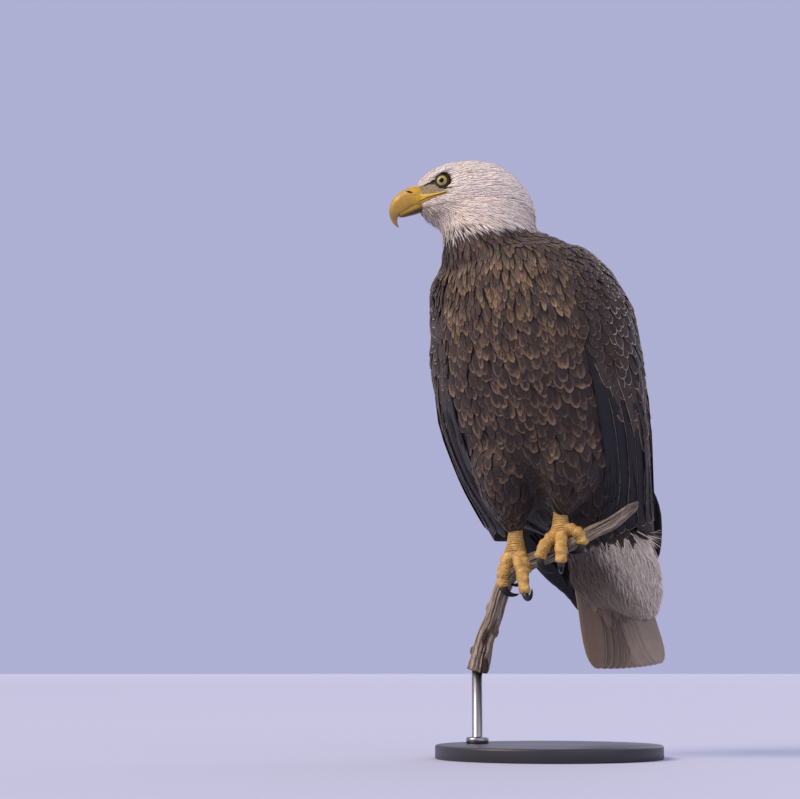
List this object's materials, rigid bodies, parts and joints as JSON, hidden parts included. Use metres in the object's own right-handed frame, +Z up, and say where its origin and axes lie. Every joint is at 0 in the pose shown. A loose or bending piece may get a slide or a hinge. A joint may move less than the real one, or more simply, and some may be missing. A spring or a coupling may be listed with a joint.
{
  "type": "bald eagle",
  "caption": "Adult bald eagle, life size, standing upright on a cut branch with its head turned over its right shoulder, on a flat base with a rod.",
  "frame": {"origin": "middle of the round base's underside, on the floor", "axes": "+Z up, the breast faces -Y, the bird's left is +X"},
  "size_m": [0.3311, 0.3654, 0.7973],
  "materials": {
    "white_feather": "warm white contour feathers, matt, layered",
    "brown_feather": "dark brown contour feathers with paler tan edges, matt with a faint sheen",
    "dark_feather": "near-black flight feathers, satin vanes and glossy shafts",
    "tail_feather": "white flight feathers, grey-brown in shade, satin",
    "bill_horn": "yellow horn, satin, growth ridges, softer skin on the cere",
    "foot_skin": "yellow scaled skin, satin, broad scutes on the toes",
    "claw_horn": "black horn, polished by wear",
    "eye": "wet pale yellow iris with a black pupil under a clear cornea",
    "dead_wood": "weathered barkless wood, grey-brown, split along the grain",
    "base_paint": "turned board, painted satin black",
    "rod_steel": "brushed steel rod and foot"
  },
  "bodies": {
    "root": {"bill": "bill_horn", "branch": "dead_wood", "cere": "bill_horn", "claw_left_hind": "claw_horn", "claw_left_inner": "claw_horn", "claw_left_middle": "claw_horn", "claw_left_outer": "claw_horn", "claw_right_hind": "claw_horn", "claw_right_inner": "claw_horn", "claw_right_middle": "claw_horn", "claw_right_outer": "claw_horn", "eye_left": "eye", "eye_right": "eye", "head": "white_feather", "jaw": "bill_horn", "neck": "white_feather", "primaries_left": "dark_feather", "primaries_right": "dark_feather", "shank_left": "foot_skin", "shank_right": "foot_skin", "stand_base": "base_paint", "stand_rod": "rod_steel", "tail": "tail_feather", "thigh_left": "brown_feather", "thigh_right": "brown_feather", "toe_left_hind": "foot_skin", "toe_left_inner": "foot_skin", "toe_left_middle": "foot_skin", "toe_left_outer": "foot_skin", "toe_right_hind": "foot_skin", "toe_right_inner": "foot_skin", "toe_right_middle": "foot_skin", "toe_right_outer": "foot_skin", "trunk": "brown_feather", "vent": "white_feather", "wing_left": "brown_feather", "wing_right": "brown_feather"}
  },
  "joints": []
}
